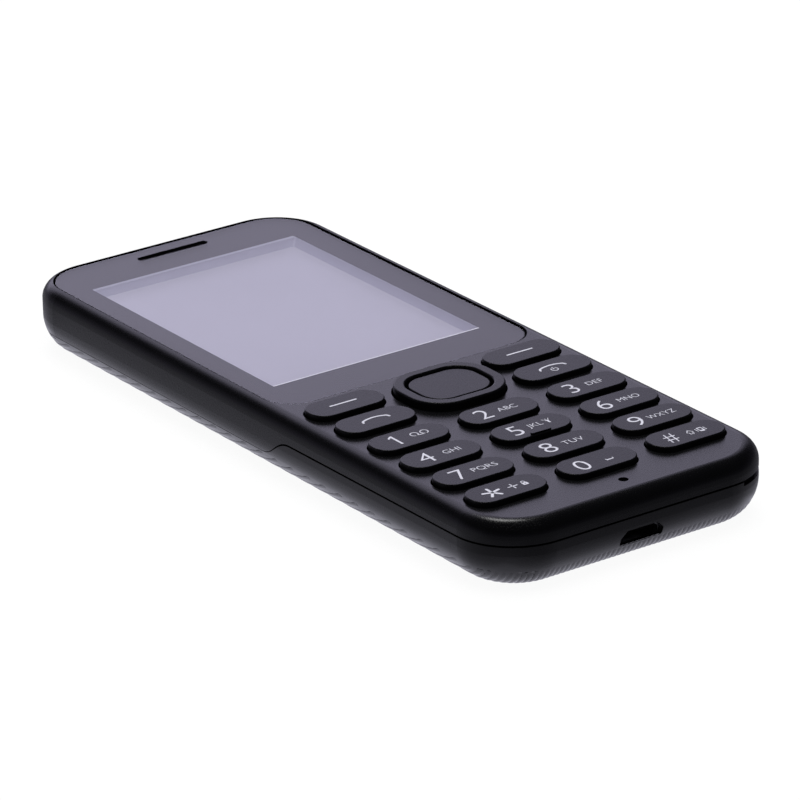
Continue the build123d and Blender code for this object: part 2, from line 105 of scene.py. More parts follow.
# Key legends
digit_height = 3.27 * mm
digit_stretch = 1.06
digit_weight = -0.05 * mm
digit_stroke = 0.36 * mm
star_stroke = 0.42 * mm
hash_height = 3.1 * mm
hash_stretch = 0.8
letter_height = 1.22 * mm
letter_weight = -0.018 * mm
legend_thickness = 0.02 * mm
legend_sink = 0.005 * mm
legend_rise = 0.02 * mm
icon_stroke = 0.17 * mm
sign_stroke = 0.14 * mm
dash_stroke = 0.33 * mm

# Unevenness of the surfaces
tone_low = 0.3
tone_high = 0.7
grain_detail = 3.0
grain_strength = 0.5
roughness_variation = 0.1
gloss_variation = 0.2
gloss_patch = 6 * mm
plastic_index = 1.49
board_cell = 3 * mm
board_trace_share = 0.03
board_shade = 0.8
board_grain = 0.5 * mm
board_roughness = (0.3, 0.45)
mesh_pitch = 0.28 * mm
mesh_shade = 0.1
mesh_grain = 0.4 * mm
mesh_metallic = 0.8
mesh_roughness = (0.35, 0.5)

# White background, and the floor as the phone sees it
background_white = 1.02
floor_clear = 0.93
floor_reach = 3000 * mm
floor_patch = 400 * mm
floor_tones = ((0.9, 0.9, 0.905), (0.92, 0.92, 0.925))
near_floor_reach = 14.5 * mm
near_floor_light = 0.5
edge_floor_reach = 2.5 * mm
edge_floor_light = 0.38
far_floor_light = 0.16
left_floor_light = 0.18
left_floor_side = (15 * mm, -45 * mm)
left_floor_front = (-75 * mm, -45 * mm)

# Studio light as the phone mirrors it, by the direction it comes from
wall_light = 1.3
wall_back = (0.5, 0.82)
wall_side = (-0.2, 0.25)
wall_low = (0.02, 0.17)
glow_light = 0.07
glow_left_light = 0.22
glow_left_side = (0.5, -0.3)
glow_left_front = (-0.4, 0.4)
glow_height = 0.45
studio_tint = (0.98, 0.93, 1.22)
floor_tint = (0.96, 0.95, 1.1)

# Lamps
overhead_place = (-100 * mm, -150 * mm, 1100 * mm)
overhead_aim = (0, 0, 0)
overhead_size = 900 * mm
overhead_power = 13.0
corner_place = (180 * mm, 370 * mm, 890 * mm)
corner_aim = (-20 * mm, -57 * mm, 11 * mm)
corner_size = 250 * mm
corner_power = 2.0

# Camera, found from the photograph
camera_place = (-442.98 * mm, -634.81 * mm, 325.92 * mm)
camera_right = (0.81411288, -0.58041031, -0.01854949)
camera_down = (-0.2367968, -0.30263769, -0.92322137)
camera_forward = (0.53023343, 0.75599887, -0.38382055)
camera_lens = 252.83
camera_sensor = 36.0
camera_near = 10 * mm


# Node materials

def new_material(name):
    material = bpy.data.materials.new(name)
    material.use_nodes = True
    tree = material.node_tree
    tree.nodes.clear()
    output = tree.nodes.new("ShaderNodeOutputMaterial")
    return material, tree, output


def add_node(tree, kind, **values):
    node = tree.nodes.new(kind)
    for name, value in values.items():
        setattr(node, name, value)
    return node


def noise(tree, size, detail=2.0):
    place = add_node(tree, "ShaderNodeTexCoord")
    texture = add_node(tree, "ShaderNodeTexNoise")
    texture.inputs["Scale"].default_value = 1 / size
    texture.inputs["Detail"].default_value = detail
    tree.links.new(place.outputs["Object"], texture.inputs["Vector"])
    return texture.outputs["Fac"]


def spread(tree, value, low, high):
    scale = add_node(tree, "ShaderNodeMapRange")
    scale.inputs["From Min"].default_value = tone_low
    scale.inputs["From Max"].default_value = tone_high
    scale.inputs["To Min"].default_value = low
    scale.inputs["To Max"].default_value = high
    tree.links.new(value, scale.inputs["Value"])
    return scale.outputs["Result"]


def two_tones(tree, value, dark, light):
    ramp = add_node(tree, "ShaderNodeValToRGB")
    ramp.color_ramp.elements[0].position = tone_low
    ramp.color_ramp.elements[0].color = (*dark, 1)
    ramp.color_ramp.elements[1].position = tone_high
    ramp.color_ramp.elements[1].color = (*light, 1)
    tree.links.new(value, ramp.inputs["Fac"])
    return ramp.outputs["Color"]


def scaled(colour, factor):
    return tuple(channel * factor for channel in colour)


def around(value, share):
    return value * (1 - share), value * (1 + share)


def surface(name, colour, roughness, shine=0.5, metallic=0.0,
            patch=4 * mm, variation=0.08, grain=0.25 * mm, depth=0.02 * mm):
    material, tree, output = new_material(name)
    shader = add_node(tree, "ShaderNodeBsdfPrincipled")
    shader.inputs["Metallic"].default_value = metallic
    shader.inputs["Specular IOR Level"].default_value = shine
    patches = noise(tree, patch)
    dark, light = around(1.0, variation)
    tones = two_tones(tree, patches, scaled(colour, dark), scaled(colour, light))
    tree.links.new(tones, shader.inputs["Base Color"])
    grains = noise(tree, grain, grain_detail)
    rough = spread(tree, grains, *around(roughness, roughness_variation))
    tree.links.new(rough, shader.inputs["Roughness"])
    bump = add_node(tree, "ShaderNodeBump")
    bump.inputs["Distance"].default_value = depth
    bump.inputs["Strength"].default_value = grain_strength
    tree.links.new(grains, bump.inputs["Height"])
    tree.links.new(bump.outputs["Normal"], shader.inputs["Normal"])
    tree.links.new(shader.outputs["BSDF"], output.inputs["Surface"])
    return material


def clear_plastic(name, tint, gloss_tint, gloss_roughness):
    """Clear from both sides, with a gloss on the outside that grows at flat angles."""
    material, tree, output = new_material(name)
    clear = add_node(tree, "ShaderNodeBsdfTransparent")
    clear.inputs["Color"].default_value = (*tint, 1)
    gloss = add_node(tree, "ShaderNodeBsdfGlossy")
    gloss.inputs["Color"].default_value = (*gloss_tint, 1)
    rough = spread(tree, noise(tree, gloss_patch), *around(gloss_roughness, gloss_variation))
    tree.links.new(rough, gloss.inputs["Roughness"])
    edge = add_node(tree, "ShaderNodeFresnel")
    edge.inputs["IOR"].default_value = plastic_index
    side = add_node(tree, "ShaderNodeNewGeometry")
    share = add_node(tree, "ShaderNodeMix", data_type="FLOAT")
    share.inputs["B"].default_value = 0.0
    tree.links.new(side.outputs["Backfacing"], share.inputs["Factor"])
    tree.links.new(edge.outputs["Fac"], share.inputs["A"])
    mix = add_node(tree, "ShaderNodeMixShader")
    tree.links.new(share.outputs["Result"], mix.inputs["Fac"])
    tree.links.new(clear.outputs["BSDF"], mix.inputs[1])
    tree.links.new(gloss.outputs["BSDF"], mix.inputs[2])
    tree.links.new(mix.outputs["Shader"], output.inputs["Surface"])
    return material


def board_surface(name, mask, trace):
    material, tree, output = new_material(name)
    shader = add_node(tree, "ShaderNodeBsdfPrincipled")
    place = add_node(tree, "ShaderNodeTexCoord")
    bricks = add_node(tree, "ShaderNodeTexBrick")
    bricks.inputs["Scale"].default_value = 1 / board_cell
    bricks.inputs["Mortar Size"].default_value = board_trace_share
    bricks.inputs["Color1"].default_value = (*mask, 1)
    bricks.inputs["Color2"].default_value = (*scaled(mask, board_shade), 1)
    bricks.inputs["Mortar"].default_value = (*trace, 1)
    tree.links.new(place.outputs["Object"], bricks.inputs["Vector"])
    tree.links.new(bricks.outputs["Color"], shader.inputs["Base Color"])
    rough = spread(tree, noise(tree, board_grain), *board_roughness)
    tree.links.new(rough, shader.inputs["Roughness"])
    tree.links.new(shader.outputs["BSDF"], output.inputs["Surface"])
    return material


def mesh_cloth(name, colour, pitch):
    material, tree, output = new_material(name)
    shader = add_node(tree, "ShaderNodeBsdfPrincipled")
    shader.inputs["Metallic"].default_value = mesh_metallic
    place = add_node(tree, "ShaderNodeTexCoord")
    holes = add_node(tree, "ShaderNodeTexVoronoi")
    holes.inputs["Scale"].default_value = 1 / pitch
    holes.inputs["Randomness"].default_value = 0.0
    tree.links.new(place.outputs["Object"], holes.inputs["Vector"])
    tones = two_tones(tree, holes.outputs["Distance"], scaled(colour, mesh_shade), colour)
    tree.links.new(tones, shader.inputs["Base Color"])
    rough = spread(tree, noise(tree, mesh_grain), *mesh_roughness)
    tree.links.new(rough, shader.inputs["Roughness"])
    tree.links.new(shader.outputs["BSDF"], output.inputs["Surface"])
    return material


charcoal = (0.0025, 0.0025, 0.003)
housing_plastic = surface("housing_plastic", charcoal, 0.26, shine=0.31)
key_plastic = surface("key_plastic", charcoal, 0.28, shine=0.16)
cover_plastic = surface("cover_plastic", charcoal, 0.3, shine=0.3)
frame_plastic = surface("frame_plastic", (0.02, 0.02, 0.022), 0.55)
legend_paint = surface("legend_paint", (0.60, 0.60, 0.67), 0.5, variation=0.04)
print_black = surface("print_black", (0.003, 0.003, 0.004), 0.6, shine=0.1, depth=0.0)
lens_clear = clear_plastic("lens_clear", (0.97, 0.97, 0.98), (0.78, 0.78, 0.78), 0.02)
torch_clear = clear_plastic("torch_clear", (0.9, 0.92, 0.95), (1.0, 1.0, 1.0), 0.05)
screen_border = surface("screen_border", (0.19, 0.185, 0.24), 0.5, variation=0.03, depth=0.0)
surround_grey = surface("surround_grey", (0.25, 0.245, 0.325), 0.5, variation=0.03, depth=0.0)
# Pale grey of the painted highlight line along the bottom edge of the window
painted_highlight_grey = surface("painted_highlight_grey", (0.68, 0.67, 0.73), 0.5, variation=0.03, depth=0.0)
screen_grey = surface("screen_grey", (0.32, 0.31, 0.378), 0.45, patch=20 * mm, variation=0.03, depth=0.0)
backlight_white = surface("backlight_white", (0.75, 0.75, 0.74), 0.5)
flex_amber = surface("flex_amber", (0.42, 0.2, 0.05), 0.35)
tape_black = surface("tape_black", (0.01, 0.01, 0.01), 0.7)
foam_black = surface("foam_black", (0.012, 0.012, 0.013), 0.95, grain=0.12 * mm, depth=0.05 * mm)
mesh_metal = mesh_cloth("mesh_metal", (0.12, 0.12, 0.125), mesh_pitch)
stamped_steel = surface("stamped_steel", (0.55, 0.55, 0.56), 0.32, metallic=1.0)
dark_steel = surface("dark_steel", (0.25, 0.25, 0.26), 0.35, metallic=1.0)
sintered_metal = surface("sintered_metal", (0.3, 0.3, 0.31), 0.5, metallic=1.0, depth=0.05 * mm)
gold = surface("gold", (0.83, 0.6, 0.22), 0.25, metallic=1.0)
silicone_grey = surface("silicone_grey", (0.42, 0.42, 0.44), 0.6)
rubber_black = surface("rubber_black", (0.015, 0.015, 0.015), 0.8)
film_frosted = surface("film_frosted", (0.6, 0.62, 0.66), 0.4)
board_green = board_surface("board_green", (0.015, 0.10, 0.035), (0.06, 0.22, 0.08))
battery_wrap = surface("battery_wrap", (0.05, 0.05, 0.055), 0.4, patch=8 * mm)
card_white = surface("card_white", (0.75, 0.75, 0.76), 0.4)
led_yellow = surface("led_yellow", (0.8, 0.7, 0.25), 0.35)

digit_names = ["1", "2", "3", "4", "5", "6", "7", "8", "9", "star", "0", "hash"]
key_nodes = ["soft_key_left", "soft_key_right", "call_key", "end_key", "ok_key", "nav_ring"]
key_nodes += ["key_" + name for name in digit_names]

node_looks = {
    "front_housing": housing_plastic,
    "mid_frame": frame_plastic,
    "back_cover": cover_plastic,
    "screws": dark_steel,
    "display_lens": lens_clear,
    "lens_tape": tape_black,
    "lcd_gasket": foam_black,
    "lcd_panel": screen_border,
    "lcd_backlight": backlight_white,
    "lcd_flex": flex_amber,
    "earpiece_mesh": mesh_metal,
    "earpiece_receiver": stamped_steel,
    "nav_ring_pad": silicone_grey,
    "keypad_mat": silicone_grey,
    "dome_film": film_frosted,
    "domes": stamped_steel,
    "main_board": board_green,
    "shield_cans": stamped_steel,
    "usb_socket": dark_steel,
    "microphone": stamped_steel,
    "microphone_boot": rubber_black,
    "loudspeaker": stamped_steel,
    "speaker_gasket": foam_black,
    "speaker_mesh": mesh_metal,
    "vibration_motor": stamped_steel,
    "motor_weight": sintered_metal,
    "battery": battery_wrap,
    "battery_connector": rubber_black,
    "battery_springs": gold,
    "sim_holder": stamped_steel,
    "sim_card": card_white,
    "antenna": flex_amber,
    "torch_led": led_yellow,
    "torch_lens": torch_clear,
}
for name in key_nodes:
    node_looks[name] = key_plastic
for name, material in node_looks.items():
    nodes[name].data.materials.clear()
    nodes[name].data.materials.append(material)


# Pieces made of flat outlines

def add_piece(name, mesh, material, body):
    piece = bpy.data.objects.new(name, mesh)
    bpy.context.scene.collection.objects.link(piece)
    mesh.materials.clear()
    mesh.materials.append(material)
    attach(piece, body)
    return piece


def flat_mesh(curve, low, high):
    curve.dimensions = "2D"
    curve.fill_mode = "BOTH"
    curve.extrude = (high - low) / 2
    holder = bpy.data.objects.new("holder", curve)
    bpy.context.scene.collection.objects.link(holder)
    bpy.context.view_layer.update()
    mesh = bpy.data.meshes.new_from_object(holder.evaluated_get(bpy.context.evaluated_depsgraph_get()))
    bpy.data.objects.remove(holder)
    mesh.transform(Matrix.Translation((0, 0, (low + high) / 2)))
    return mesh


def loops_mesh(loops, low, high):
    curve = bpy.data.curves.new("outline", "CURVE")
    for loop in loops:
        spline = curve.splines.new("POLY")
        spline.points.add(len(loop) - 1)
        for point, (x, y) in zip(spline.points, loop):
            point.co = (x, y, 0, 1)
        spline.use_cyclic_u = True
    return flat_mesh(curve, low, high)


def text_mesh(text, height, weight, low, high):
    curve = bpy.data.curves.new("text", "FONT")
    curve.body = text
    curve.align_x = "CENTER"
    curve.align_y = "CENTER"
    curve.size = height / capital_share
    curve.offset = weight
    return flat_mesh(curve, low, high)


def capital_height():
    curve = bpy.data.curves.new("text", "FONT")
    curve.body = "E"
    mesh = flat_mesh(curve, 0, 0)
    rows = [vertex.co.y for vertex in mesh.vertices]
    return max(rows) - min(rows)


capital_share = capital_height()


def arc(x, y, radius, start, end, steps=16):
    points = []
    for step in range(steps + 1):
        angle = math.radians(start + (end - start) * step / steps)
        points.append((x + radius * math.cos(angle), y + radius * math.sin(angle)))
    return points


def circle(x, y, radius, steps=32):
    return arc(x, y, radius, 0, 360, steps)[:-1]


def rounded_loop(width, length, x, y, top_corner, bottom_corner):
    right, top = x + width / 2, y + length / 2
    left, bottom = x - width / 2, y - length / 2
    loop = arc(right - top_corner, top - top_corner, top_corner, 0, 90)
    loop += arc(left + top_corner, top - top_corner, top_corner, 90, 180)
    loop += arc(left + bottom_corner, bottom + bottom_corner, bottom_corner, 180, 270)
    return loop + arc(right - bottom_corner, bottom + bottom_corner, bottom_corner, 270, 360)


def stroke(points, width):
    """Outline of an open line of points, with round ends."""
    half = width / 2
    left, right = [], []
    path = [Vector(point) for point in points]
    for index, point in enumerate(path):
        before = path[max(index - 1, 0)]
        after = path[min(index + 1, len(path) - 1)]
        along = (after - before).normalized()
        aside = Vector((-along.y, along.x))
        if 0 < index < len(path) - 1:
            turn = (point - before).normalized().dot(along)
            aside /= max(turn, 0.5)
        left.append(point + aside * half)
        right.append(point - aside * half)
    first = (path[1] - path[0]).normalized()
    last = (path[-1] - path[-2]).normalized()
    start_angle = math.degrees(math.atan2(first.y, first.x))
    end_angle = math.degrees(math.atan2(last.y, last.x))
    end_cap = arc(*path[-1], half, end_angle + 90, end_angle - 90, 8)
    start_cap = arc(*path[0], half, start_angle + 270, start_angle + 90, 8)
    outline = [tuple(point) for point in left[:-1]] + end_cap
    return outline + [tuple(point) for point in reversed(right[1:-1])] + start_cap[:-1]


def moved(points, x, y):
    return [(x + u, y + v) for u, v in points]


def finished_mesh(name, whole):
    mesh = bpy.data.meshes.new(name)
    whole.to_mesh(mesh)
    whole.free()
    return mesh


def join_rows(whole, rows):
    """Four-sided faces between closed rows of points."""
    for row, following in zip(rows, rows[1:]):
        for index in range(len(row)):
            other = (index + 1) % len(row)
            whole.faces.new((row[index], row[other], following[other], following[index]))


def joined_mesh(name, meshes, x=0, y=0):
    whole = bmesh.new()
    for mesh in meshes:
        whole.from_mesh(mesh)
    result = finished_mesh(name, whole)
    result.transform(Matrix.Translation((x, y, 0)))
    return result


# Icons, each a list of filled shapes about its own middle

def line_shapes(*lines, width=icon_stroke):
    return [[stroke(line, width)] for line in lines]


def voicemail_icon():
    radius = 0.68 * mm
    reach = 0.87 * mm
    width = 0.16 * mm
    shapes = []
    for side in (-1, 1):
        shapes.append([circle(side * reach, 0, radius), circle(side * reach, 0, radius - width)])
    foot = width / 2 - radius
    return shapes + line_shapes([(-reach, foot), (reach, foot)], width=width)


def torch_icon():
    grip = 0.16 * mm
    head = 0.4 * mm
    foot = -0.65 * mm
    brim = 0.3 * mm
    ray_low = 0.5 * mm
    ray_high = 0.75 * mm
    ray_lean = 1.5
    ray_width = 0.12 * mm
    handle = [(-grip, foot), (grip, foot), (grip, 0.0), (head, brim), (-head, brim), (-grip, 0.0)]
    rays = [[(side * head, ray_low), (ray_lean * side * head, ray_high)] for side in (-1, 0, 1)]
    return [[handle]] + line_shapes(*rays, width=ray_width)


def plus_icon():
    reach = 0.78 * mm
    width = 0.2 * mm
    return line_shapes([(-reach, 0), (reach, 0)], [(0, -reach), (0, reach)], width=width)


def padlock_icon():
    half = 0.45 * mm
    foot = -0.7 * mm
    top = 0.1 * mm
    bow = 0.28 * mm
    bow_y = 0.35 * mm
    keyhole = 0.13 * mm
    keyhole_y = -0.3 * mm
    case = [(-half, foot), (half, foot), (half, top), (-half, top)]
    shackle = [(-bow, top)] + arc(0, bow_y, bow, 180, 0) + [(bow, top)]
    return [[case, circle(0, keyhole_y, keyhole)]] + line_shapes(shackle, width=sign_stroke)


def space_icon():
    reach = 0.6 * mm
    lift = 0.3 * mm
    return line_shapes([(-reach, lift), (-reach, 0), (reach, 0), (reach, lift)])


def shift_icon():
    eaves = 0.6 * mm
    peak = 0.7 * mm
    wall = 0.3 * mm
    foot = -0.6 * mm
    roof = [(-eaves, 0), (0, peak), (eaves, 0)]
    left = [(-eaves, 0), (-wall, 0)]
    right = [(wall, 0), (eaves, 0)]
    walls = [(-wall, 0), (-wall, foot), (wall, foot), (wall, 0)]
    return line_shapes(roof, left, right, walls, width=sign_stroke)


def vibrate_icon():
    case_width = 0.85 * mm
    case_height = 1.4 * mm
    case_corner = 0.15 * mm
    screen_width = 0.5 * mm
    screen_height = 0.75 * mm
    screen_y = 0.1 * mm
    screen_corner = 0.05 * mm
    wave_x = 0.75 * mm
    wave_reach = 0.45 * mm
    case = rounded_loop(case_width, case_height, 0, 0, case_corner, case_corner)
    screen = rounded_loop(screen_width, screen_height, 0, screen_y, screen_corner, screen_corner)
    waves = [[(side * wave_x, -wave_reach), (side * wave_x, wave_reach)] for side in (-1, 1)]
    return [[case, screen]] + line_shapes(*waves, width=sign_stroke)


def power_icon():
    radius = 0.55 * mm
    gap_start = 130
    gap_end = 50
    bar_low = 0.1 * mm
    bar_high = 0.75 * mm
    width = 0.15 * mm
    ring = arc(0, 0, radius, gap_start, 360 + gap_end)
    return line_shapes(ring, [(0, bar_low), (0, bar_high)], width=width)


def one_icon():
    half = digit_height / 2
    right = digit_stroke / 2
    flag = -0.75 * mm
    flag_top = half - 0.5 * mm
    flag_low = half - 0.9 * mm
    stem = [(-right, -half), (right, -half), (right, half), (-right / 2, half)]
    return [[stem + [(flag, flag_top), (flag, flag_low), (-right, flag_top)]]]


def star_icon():
    arms = 5
    reach = 1.43 * mm
    spokes = []
    for turn in range(arms):
        angle = math.radians(90 + 360 * turn / arms)
        spokes.append([(0, 0), (reach * math.cos(angle), reach * math.sin(angle))])
    return line_shapes(*spokes, width=star_stroke)


def dash_icon():
    reach = 2.25 * mm
    return line_shapes([(-reach, 0), (reach, 0)], width=dash_stroke)


def handset_icon():
    radius = 4.6 * mm
    top = 0.75 * mm
    half_angle = 27
    hook_x = 0.2 * mm
    hook_y = 0.5 * mm
    bow = arc(0, top - radius, radius, 90 + half_angle, 90 - half_angle)
    left, right = bow[0], bow[-1]
    left_hook = (left[0] - hook_x, left[1] - hook_y)
    right_hook = (right[0] + hook_x, right[1] - hook_y)
    return line_shapes([left_hook] + bow + [right_hook], width=dash_stroke)


# Legends, placed from the middle of each key: text as (text, height, stretch, weight, x, y),
# icons as (shapes, x, y)

def digit(text, x, y=legend_rise):
    return (text, digit_height, digit_stretch, digit_weight, x, y)


def letters(text, x, stretch=1.0):
    return (text, letter_height, stretch, letter_weight, x, legend_rise)


low_row = -0.2 * mm
legends = {
    "soft_key_left": ([], [(dash_icon(), -0.2 * mm, 0.12 * mm)]),
    "soft_key_right": ([], [(dash_icon(), -0.2 * mm, 0.12 * mm)]),
    "call_key": ([], [(handset_icon(), 0.0, -0.05 * mm)]),
    "end_key": ([], [(handset_icon(), 0.0, 0.1 * mm), (power_icon(), -0.2 * mm, -0.8 * mm)]),
    "key_1": ([], [(one_icon(), -2.2 * mm, 0), (voicemail_icon(), 1.95 * mm, 0.2 * mm)]),
    "key_2": ([digit("2", -2.8 * mm), letters("ABC", 1.45 * mm)], []),
    "key_3": ([digit("3", -2.8 * mm), letters("DEF", 1.4 * mm)], []),
    "key_4": ([digit("4", -2.6 * mm), letters("GHI", 1.9 * mm, 1.03)], []),
    "key_5": ([digit("5", -2.75 * mm), letters("JKL", 0.8 * mm)], [(torch_icon(), 3.2 * mm, 0.25 * mm)]),
    "key_6": ([digit("6", -2.85 * mm), letters("MNO", 1.65 * mm, 0.94)], []),
    "key_7": ([digit("7", -2.4 * mm), letters("PQRS", 2.05 * mm, 1.06)], []),
    "key_8": ([digit("8", -2.7 * mm), letters("TUV", 1.7 * mm, 1.08)], []),
    "key_9": ([digit("9", -2.75 * mm), letters("WXYZ", 1.65 * mm, 0.92)], []),
    "key_star": (
        [],
        [
            (star_icon(), -2.5 * mm, low_row),
            (plus_icon(), 1.1 * mm, -0.1 * mm),
            (padlock_icon(), 3.1 * mm, -0.1 * mm),
        ],
    ),
    "key_0": ([digit("0", -2.75 * mm, low_row)], [(space_icon(), 1.8 * mm, -0.8 * mm)]),
    "key_hash": (
        [("#", hash_height, hash_stretch, digit_weight, -2.75 * mm, low_row)],
        [(shift_icon(), 0.7 * mm, low_row), (vibrate_icon(), 2.6 * mm, low_row)],
    ),
}


def make_legend(node, texts, icons):
    low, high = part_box(node)
    top = high[2]
    if node == "key_5":
        # The raised bar of this key is higher than its face, which is level with the next key's
        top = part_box("key_2")[1][2]
    under, over = top - legend_sink, top + legend_thickness
    meshes = []
    for text, height, stretch, weight, x, y in texts:
        mesh = text_mesh(text, height, weight, under, over)
        columns = [vertex.co.x for vertex in mesh.vertices]
        rows = [vertex.co.y for vertex in mesh.vertices]
        middle_x = (min(columns) + max(columns)) / 2
        middle_y = (min(rows) + max(rows)) / 2
        mesh.transform(Matrix.Translation((-middle_x, -middle_y, 0)))
        mesh.transform(Matrix.Translation((x, y, 0)) @ Matrix.Diagonal((stretch, 1, 1, 1)))
        meshes.append(mesh)
    for shapes, x, y in icons:
        for loops in shapes:
            meshes.append(loops_mesh([moved(loop, x, y) for loop in loops], under, over))
    mesh = joined_mesh("legend_" + node, meshes, (low[0] + high[0]) / 2, (low[1] + high[1]) / 2)
    add_piece("legend_" + node, mesh, legend_paint, node)


for node, (texts, icons) in legends.items():
    make_legend(node, texts, icons)


# Black print inside the lens, with the window and the earpiece slot left open

def make_lens_print():
    low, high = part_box("display_lens")
    width = high[0] - low[0] - 2 * print_inset
    length = high[1] - low[1] - 2 * print_inset
    middle = (low[1] + high[1]) / 2
    outer = rounded_loop(width, length, 0, middle, lens_top_corner, lens_bottom_corner)
    window = rounded_loop(window_width, window_length, 0, window_y, window_corner, window_corner)
    top = high[2] - print_depth
    mesh = loops_mesh([outer, window, slot_loop(0)], top - print_thickness, top)
    lens_print = add_piece("lens_print", mesh, print_black, "phone")
    lens_print.visible_shadow = False


def slot_loop(grow):
    height = slot_height + 2 * grow
    return rounded_loop(slot_width + 2 * grow, height, slot_x, slot_y, height * slot_end, height * slot_end)


def make_slot_sleeve():
    low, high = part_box("display_lens")
    inner = slot_loop(-slot_sleeve)
    sleeve = loops_mesh([slot_loop(0), inner], low[2], high[2])
    collar = loops_mesh([slot_loop(slot_collar), inner], high[2], high[2] + print_thickness)
    mesh = joined_mesh("earpiece_sleeve", [sleeve, collar])
    add_piece("earpiece_sleeve", mesh, print_black, "phone")


# A pale line painted along the bottom edge of the window, under the lens: a painted highlight of the
# window's edge
def make_painted_highlight_line():
    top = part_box("display_lens")[1][2] - print_depth
    side = (painted_highlight_line - window_width) / 2
    low = window_y + (painted_highlight_line - window_length) / 2
    line = stroke([(side, low), (-side, low)], painted_highlight_line)
    mesh = loops_mesh([line], top, top + print_thickness)
    add_piece("painted_highlight_line", mesh, painted_highlight_grey, "phone")


def make_screen_surround():
    """A bevelled frame from the active area up to the opening under the lens."""
    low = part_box("lcd_panel")[1][2] + print_thickness
    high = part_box("display_lens")[0][2] + print_thickness
    opening = 2 * ledge_margin - print_inset
    reach = opening + 2 * surround_reach
    rims = [
        (active_width, active_length, low),
        (window_width + opening, window_length + opening, high),
        (window_width + reach, window_length + reach, high),
    ]
    whole = bmesh.new()
    rows = []
    for width, length, level in rims:
        loop = rounded_loop(width, length, 0, panel_window_y, window_corner, window_corner)
        rows.append([whole.verts.new((x, y, level)) for x, y in loop])
    join_rows(whole, rows)
    bmesh.ops.recalc_face_normals(whole, faces=whole.faces)
    mesh = finished_mesh("screen_surround", whole)
    add_piece("screen_surround", mesh, surround_grey, "phone")


def make_active_area():
    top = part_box("lcd_panel")[1][2]
    outline = rounded_loop(active_width, active_length, 0, panel_window_y, active_corner, active_corner)
    mesh = loops_mesh([outline], top, top + print_thickness)
    add_piece("screen_active_area", mesh, screen_grey, "phone")


make_lens_print()
make_slot_sleeve()
make_painted_highlight_line()
make_screen_surround()
make_active_area()


# Gold contacts on the end of the battery, one for each spring

def make_battery_contacts():
    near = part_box("battery")[1][1]
    far = near + print_thickness
    spring_low, spring_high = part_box("battery_springs")
    pads = []
    for number in (-1, 0, 1):
        left = number * spring_pitch - contact_width / 2
        right = left + contact_width
        pad = [(left, near), (right, near), (right, far), (left, far)]
        pads.append(loops_mesh([pad], spring_low[2], spring_high[2]))
    mesh = joined_mesh("battery_contacts", pads)
    add_piece("battery_contacts", mesh, gold, "battery")


make_battery_contacts()


# Diagonal ribs over the back cover, following its rounded edge

def inset_at(x, y):
    """How far a point lies inside the outline of the back, and the direction out of it."""
    core_x = half_width - body_corner
    core_y = half_length - body_corner
    out = Vector((max(abs(x) - core_x, 0), max(abs(y) - core_y, 0)))
    if out.x > 0 and out.y > 0:
        way = Vector((math.copysign(out.x, x), math.copysign(out.y, y))).normalized()
        return body_corner - out.length, way
    if half_width - abs(x) < half_length - abs(y):
        return half_width - abs(x), Vector((math.copysign(1, x), 0))
    return half_length - abs(y), Vector((0, math.copysign(1, y)))


def back_point(x, y):
    """The point of the back at a place in plan, and the direction out of the back there."""
    inset, way = inset_at(x, y)
    lean = min(max((back_edge - inset) / back_edge, 0), 1)
    upright = math.sqrt(1 - lean * lean)
    height = back_edge * (1 - upright)
    return Vector((x, y, height)), Vector((way.x * lean, way.y * lean, -upright))


def rib_inset():
    """How far inside the outline the rounded edge has come down to the height where the ribs end."""
    drop = back_edge - rib_end_height
    return back_edge - math.sqrt(back_edge ** 2 - drop ** 2)


grille_low, grille_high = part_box("speaker_mesh")


def over_grille(x, y):
    return grille_low[0] < x < grille_high[0] and grille_low[1] < y < grille_high[1]


def rib_runs(start_x):
    """The stretches of one rib, in plan, that lie on the back and beside the loudspeaker's holes."""
    limit = rib_inset()
    runs = [[]]
    y = -half_length
    while y < half_length:
        x = start_x + rib_slope * y
        if abs(x) < half_width and inset_at(x, y)[0] >= limit and not over_grille(x, y):
            runs[-1].append((x, y))
        elif runs[-1]:
            runs.append([])
        y += rib_step
    return [thinned(run) for run in runs if run]


def thinned(run):
    """Points of one stretch, with close steps on the rounded edge and long ones on the flat."""
    kept = []
    travelled = math.inf
    last = None
    for x, y in run:
        point, normal = back_point(x, y)
        if last is not None:
            travelled += (point - last).length
        last = point
        spacing = rib_edge_spacing if normal.z > -flat_upright else rib_flat_spacing
        if travelled >= spacing:
            kept.append((x, y))
            travelled = 0.0
    if kept[-1] != run[-1]:
        kept.append(run[-1])
    return kept


def add_rib(whole, line):
    """One rib with a rounded section, which sinks into the back at both ends."""
    surface_points = [back_point(x, y) for x, y in line]
    lengths = [0.0]
    for (point, normal), (before, other) in zip(surface_points[1:], surface_points):
        lengths.append(lengths[-1] + (point - before).length)
    total = lengths[-1]
    if total < 2 * rib_width:
        return
    rows = []
    for index, (point, normal) in enumerate(surface_points):
        before = surface_points[max(index - 1, 0)][0]
        after = surface_points[min(index + 1, len(surface_points) - 1)][0]
        aside = (after - before).cross(normal).normalized()
        near_end = min(lengths[index], total - lengths[index])
        share = min(near_end / rib_fade, 1.0)
        height = (rib_height + rib_root) * share * (2 - share)
        row = []
        for number in range(rib_points):
            side = 2 * number / (rib_points - 1) - 1
            lift = height * math.cos(side * math.pi / 2) - rib_root
            row.append(whole.verts.new(point + aside * side * rib_width / 2 + normal * lift))
        rows.append(row)
    join_rows(whole, rows)
    whole.faces.new(rows[0])
    whole.faces.new(list(reversed(rows[-1])))


